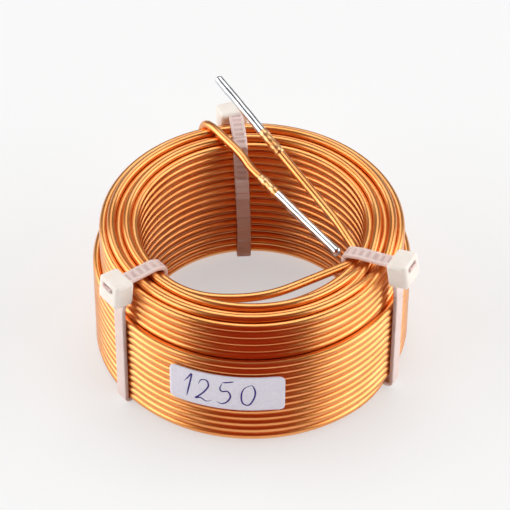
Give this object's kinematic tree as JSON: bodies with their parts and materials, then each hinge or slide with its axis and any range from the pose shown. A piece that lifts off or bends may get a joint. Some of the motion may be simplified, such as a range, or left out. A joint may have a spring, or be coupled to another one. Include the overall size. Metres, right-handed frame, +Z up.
{
  "type": "air-core crossover inductor",
  "caption": "Air-core inductor coil for a loudspeaker crossover: layers of enamelled copper wire round an open centre, held by nylon ties, with tinned wire ends for soldering.",
  "frame": {"origin": "on the coil's axis, in the plane of the ties' undersides that the coil stands on", "axes": "+Z up along the coil's axis; -Y is the front, with the label; +X is to the right seen from the front"},
  "size_m": [0.0463, 0.0486, 0.0312],
  "materials": {
    "enamelled_wire": "gloss",
    "nylon": "satin, translucent",
    "label_paper": "matt",
    "tin": "gloss"
  },
  "bodies": {
    "root": {"winding": "enamelled_wire", "tie_left": "nylon", "tie_right": "nylon", "tie_rear": "nylon", "label": "label_paper", "tinned_end_start": "tin", "tinned_end_finish": "tin"}
  },
  "joints": []
}
